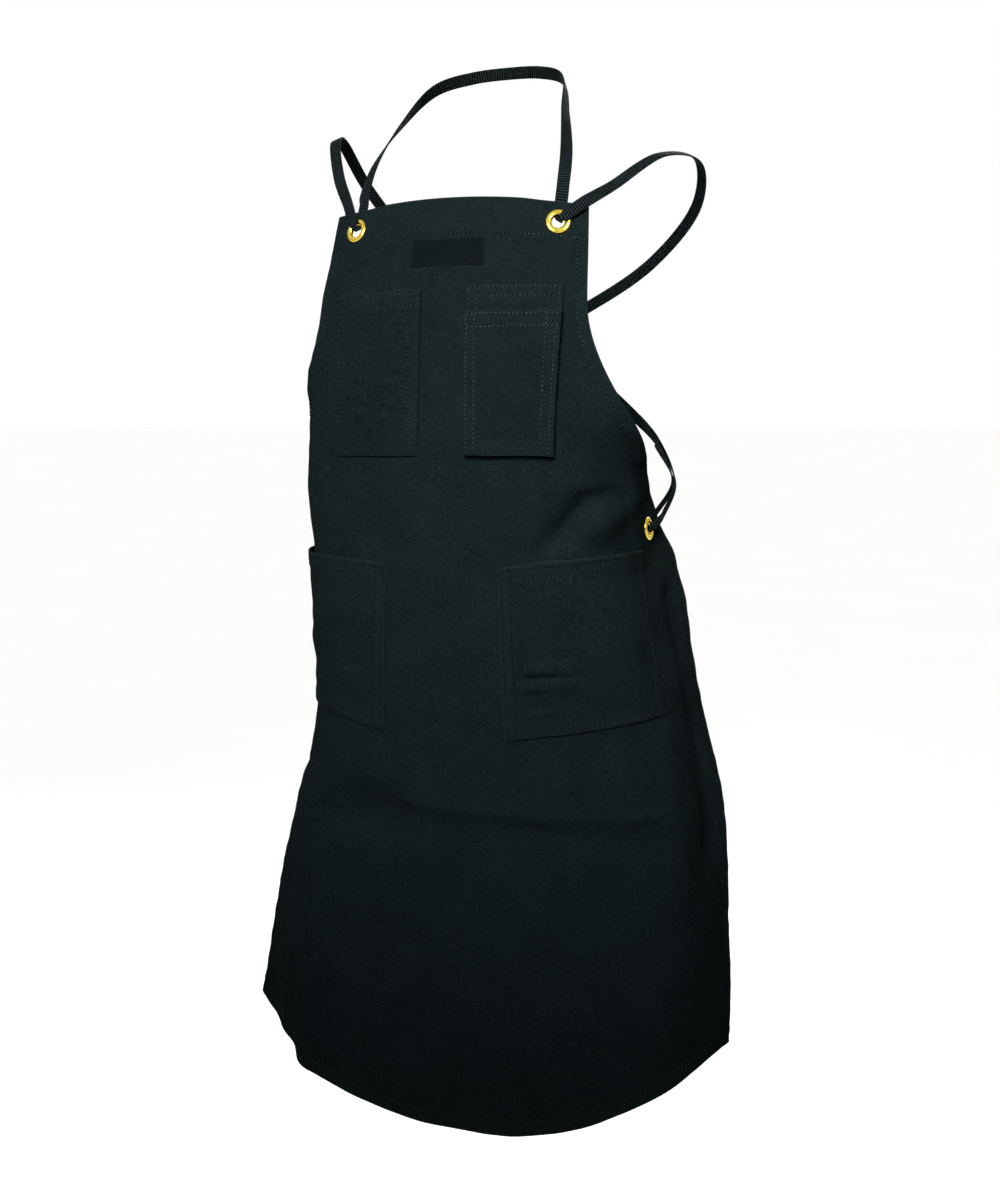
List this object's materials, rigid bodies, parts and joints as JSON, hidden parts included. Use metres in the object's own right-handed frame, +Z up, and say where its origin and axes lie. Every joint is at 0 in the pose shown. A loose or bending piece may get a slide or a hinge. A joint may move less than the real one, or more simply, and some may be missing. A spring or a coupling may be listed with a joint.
{
  "type": "kitchen apron",
  "caption": "Bib apron of heavy black cotton in its worn form, with patch pockets, brass eyelets and ribbed webbing that crosses on the back.",
  "frame": {"origin": "the nape of the wearer's neck, on the neck strap, where the apron hangs", "axes": "+Z up, the wearer faces -Y, the wearer's left side is +X"},
  "size_m": [0.5278, 0.2534, 1.034],
  "materials": {
    "cotton": "matte twill weave",
    "webbing": "ribbed, slightly glossy",
    "label": "fine satin weave",
    "brass": "polished"
  },
  "bodies": {
    "root": {"apron_body": "cotton", "pencil_pocket": "cotton", "phone_pocket_rear": "cotton", "phone_pocket_front": "cotton", "hip_pocket_left": "cotton", "hip_pocket_right": "cotton", "label": "label", "eyelet_bib_left": "brass", "eyelet_bib_right": "brass", "eyelet_side_left": "brass", "eyelet_side_right": "brass", "neck_strap": "webbing", "back_strap_left": "webbing", "back_strap_right": "webbing"}
  },
  "joints": []
}
